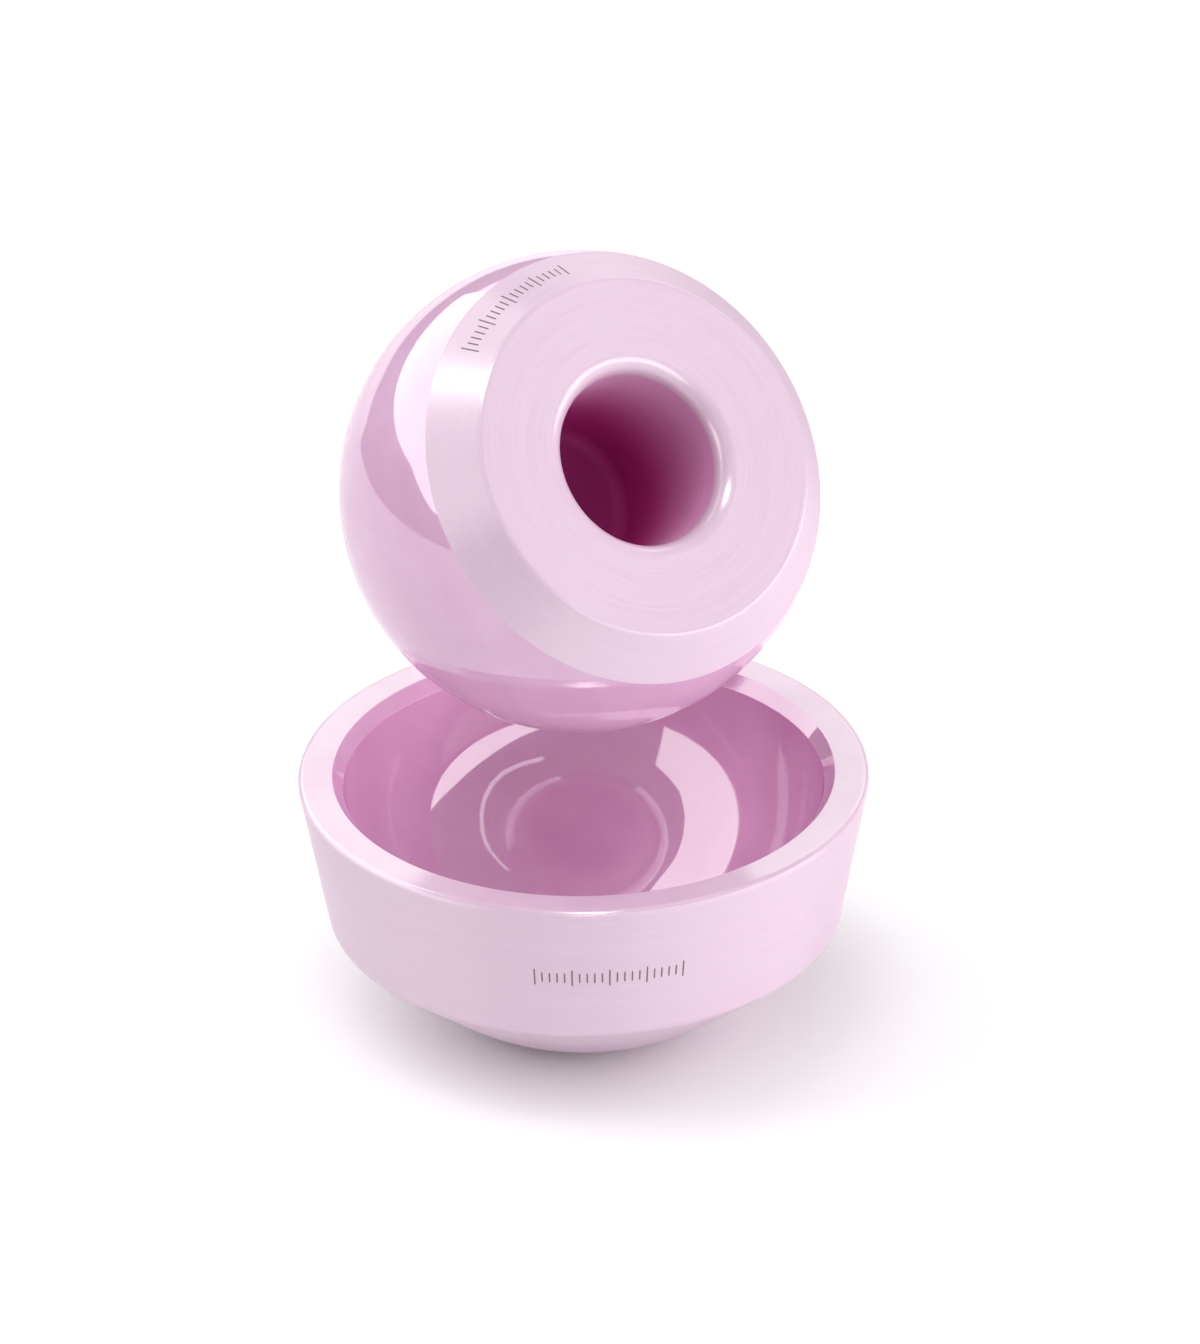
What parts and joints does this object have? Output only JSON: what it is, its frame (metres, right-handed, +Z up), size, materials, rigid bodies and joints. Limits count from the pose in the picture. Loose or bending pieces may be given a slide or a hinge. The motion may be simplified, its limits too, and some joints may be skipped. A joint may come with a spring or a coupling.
{
  "type": "ceramic hip bearing",
  "caption": "Pink ceramic hip bearing: a polished ball head with a tapered bore, held tilted above a cup insert that it seats into.",
  "frame": {"origin": "centre of the cup insert's foot, on the surface that it stands on", "axes": "+Z up along the axis of the cup insert; the ball head's bore points up and to -Y, in the plane of Y and Z"},
  "size_m": [0.043, 0.043, 0.0612],
  "materials": {
    "head_ceramic": "polished",
    "insert_ceramic": "polished"
  },
  "bodies": {
    "cup_insert": {"cup_insert": "insert_ceramic"},
    "ball_head": {"ball_head": "head_ceramic"}
  },
  "joints": [
    {"name": "seat_slide", "type": "slide", "parent": "cup_insert", "child": "ball_head", "axis": [0, 0, 1], "range_m": [-0.0229, 0]}
  ]
}
